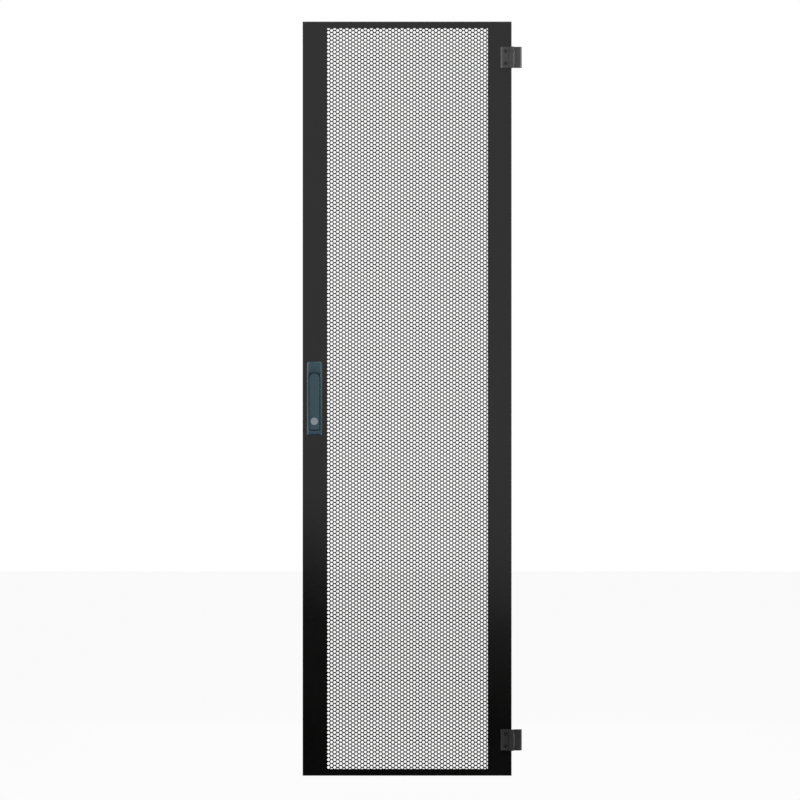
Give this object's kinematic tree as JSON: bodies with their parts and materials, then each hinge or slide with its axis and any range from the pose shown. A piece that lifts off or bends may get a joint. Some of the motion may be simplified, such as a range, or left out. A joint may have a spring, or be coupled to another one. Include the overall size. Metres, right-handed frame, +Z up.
{
  "type": "perforated rack door",
  "caption": "Tall perforated steel door for a server rack, with surface hinges on its right edge, a swing handle with a lock on its left, and locking rods behind.",
  "frame": {"origin": "middle of the two fixing holes of the lower hinge's frame leaf, in the plane of the cabinet post's front face, which is also the plane of the door's front face", "axes": "+Z up along the hinge axis, +X to the right as seen from the front, -Y out of the door's front towards the user"},
  "size_m": [0.5766, 0.0441, 1.985],
  "materials": {
    "powder_steel": "black powder coat, fine texture, semi-matt",
    "hinge_black": "black coated zinc casting, satin",
    "handle_plastic": "slate-teal glass-filled nylon, satin",
    "lock_metal": "satin nickel",
    "zinc_steel": "bright zinc plated",
    "black_nylon": "black nylon, matt",
    "black_rubber": "black rubber, matt"
  },
  "bodies": {
    "cabinet_side": {"upper_frame_leaf": "hinge_black", "upper_hinge_pin": "zinc_steel", "upper_hinge_washers": "black_nylon", "lower_frame_leaf": "hinge_black", "lower_hinge_pin": "zinc_steel", "lower_hinge_washers": "black_nylon"},
    "door": {"door_frame": "powder_steel", "mesh_panel": "powder_steel", "left_channel": "powder_steel", "right_channel": "powder_steel", "top_angle": "powder_steel", "bottom_angle": "powder_steel", "earth_stud": "zinc_steel", "earth_nut": "zinc_steel", "door_bumpers": "black_rubber", "upper_door_leaf": "hinge_black", "upper_hinge_plate": "zinc_steel", "upper_hinge_screws": "black_nylon", "lower_door_leaf": "hinge_black", "lower_hinge_plate": "zinc_steel", "lower_hinge_screws": "black_nylon", "handle_gasket": "black_rubber", "handle_housing": "handle_plastic", "handle_clamp": "zinc_steel", "clamp_screw": "zinc_steel", "gearbox_base": "zinc_steel", "gearbox_cover": "zinc_steel", "gearbox_screws": "zinc_steel", "upper_rod_guide": "black_nylon", "upper_end_guide": "black_nylon", "lower_rod_guide": "black_nylon", "lower_end_guide": "black_nylon", "guide_studs": "zinc_steel", "guide_nuts": "zinc_steel"},
    "handle_hub": {"handle_hub": "zinc_steel", "lever_pin": "zinc_steel", "pinion": "zinc_steel", "spindle_screw": "zinc_steel"},
    "lever": {"handle_lever": "handle_plastic", "lock_sleeve": "lock_metal"},
    "lock": {"lock_plug": "lock_metal", "lock_cam": "zinc_steel"},
    "upper_rod": {"upper_rack": "zinc_steel", "upper_rod": "zinc_steel", "upper_rod_rivet": "zinc_steel", "upper_rod_tip": "black_nylon"},
    "lower_rod": {"lower_rack": "zinc_steel", "lower_rod": "zinc_steel", "lower_rod_rivet": "zinc_steel", "lower_rod_tip": "black_nylon"}
  },
  "joints": [
    {"name": "door_swing", "type": "hinge", "parent": "cabinet_side", "child": "door", "pos_m": [-0.016, -0.007, 0], "axis": [0, 0, 1], "range_deg": [0, 180]},
    {"name": "handle_turn", "type": "hinge", "parent": "door", "child": "handle_hub", "pos_m": [-0.5346, 0, 0.951], "axis": [0, -1, 0], "range_deg": [0, 90]},
    {"name": "lever_lift", "type": "hinge", "parent": "handle_hub", "child": "lever", "pos_m": [-0.5346, -0.0115, 0.955], "axis": [-1, 0, 0], "range_deg": [0, 35]},
    {"name": "key_turn", "type": "hinge", "parent": "lever", "child": "lock", "pos_m": [-0.5346, -0.012, 0.838], "axis": [0, -1, 0], "range_deg": [0, 180]},
    {"name": "upper_rod_slide", "type": "slide", "parent": "door", "child": "upper_rod", "axis": [0, 0, -1], "range_m": [0, 0.01571]},
    {"name": "lower_rod_slide", "type": "slide", "parent": "door", "child": "lower_rod", "axis": [0, 0, 1], "range_m": [0, 0.01571]}
  ],
  "couplings": [
    {"joint": "upper_rod_slide", "follows": "handle_turn", "m_per_rad": 0.01},
    {"joint": "lower_rod_slide", "follows": "handle_turn", "m_per_rad": 0.01}
  ]
}
